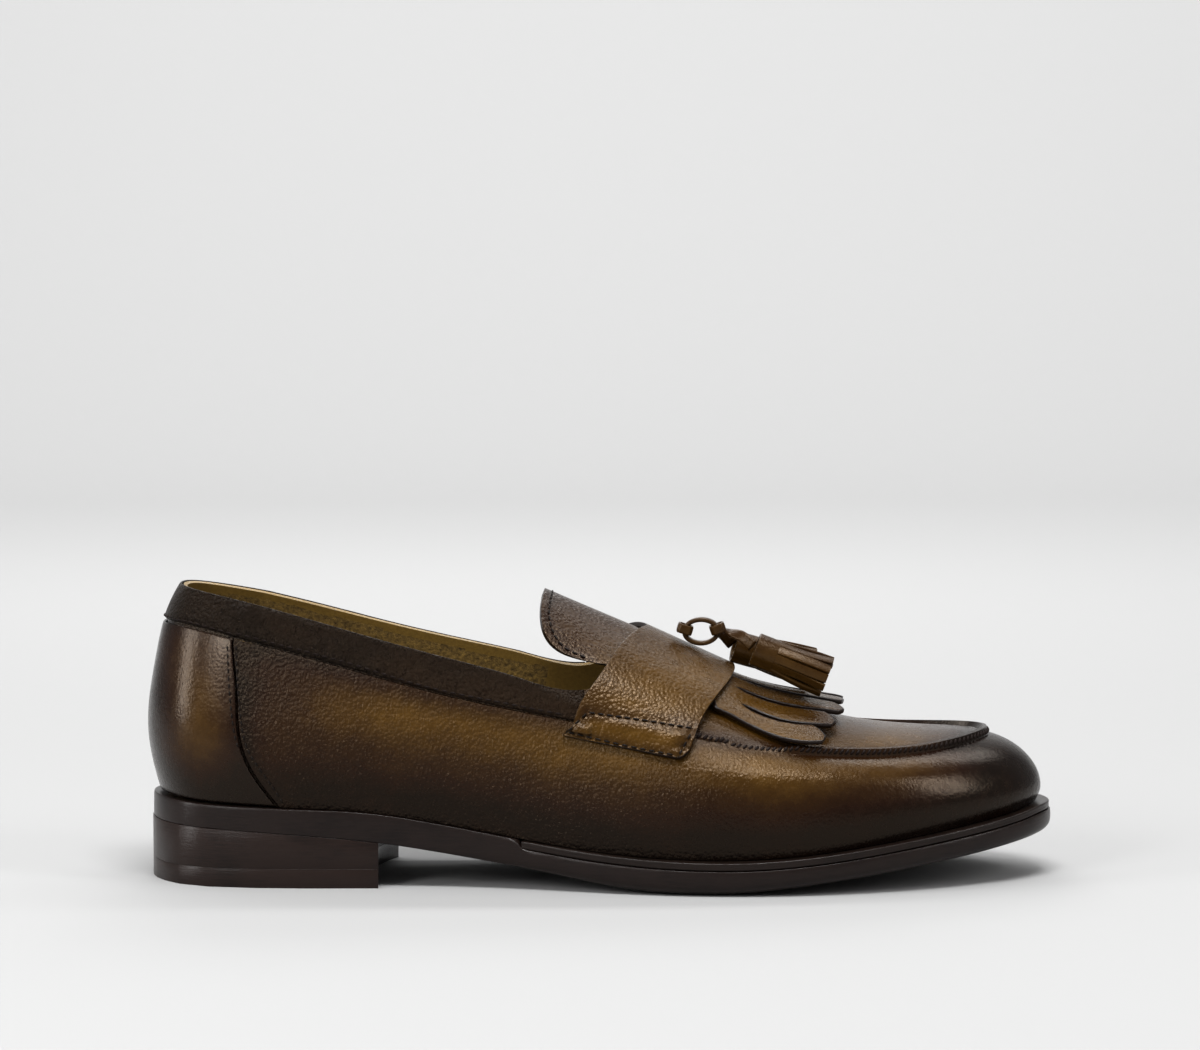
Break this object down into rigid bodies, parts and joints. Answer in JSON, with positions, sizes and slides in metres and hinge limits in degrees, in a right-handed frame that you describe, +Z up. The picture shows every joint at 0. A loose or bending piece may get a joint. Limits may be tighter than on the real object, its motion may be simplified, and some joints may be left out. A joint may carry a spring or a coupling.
{
  "type": "kiltie loafer",
  "caption": "Low slip-on dress shoe with a saddle strap over a fringed flap, a lace bow with tassels, a welted leather sole and a stacked heel.",
  "frame": {"origin": "middle of the flat underside of the heel, on the floor, 36 mm in front of the heel's rear edge at the foot axis", "axes": "+X from heel to toe, +Y to the inner side of this right shoe, +Z up"},
  "size_m": [0.3034, 0.1067, 0.0979],
  "materials": {
    "upper_calf": "burnished, waxed, half gloss",
    "lace_calf": "waxed, half gloss",
    "sole_edge": "dressed edge, satin",
    "lining_calf": "drummed, matt"
  },
  "bodies": {
    "root": {"upper": "upper_calf", "collar_band": "upper_calf", "heel_counter": "upper_calf", "tongue": "upper_calf", "saddle_strap": "upper_calf", "kiltie": "upper_calf", "lace_ring": "lace_calf", "lace_band_rear": "lace_calf", "lace_band_front": "lace_calf", "lace_tail_near": "lace_calf", "lace_tail_far": "lace_calf", "tassel_near": "lace_calf", "tassel_far": "lace_calf", "outsole": "sole_edge", "welt": "sole_edge", "heel_stack": "sole_edge", "heel_top_piece": "sole_edge", "insole": "lining_calf"}
  },
  "joints": []
}
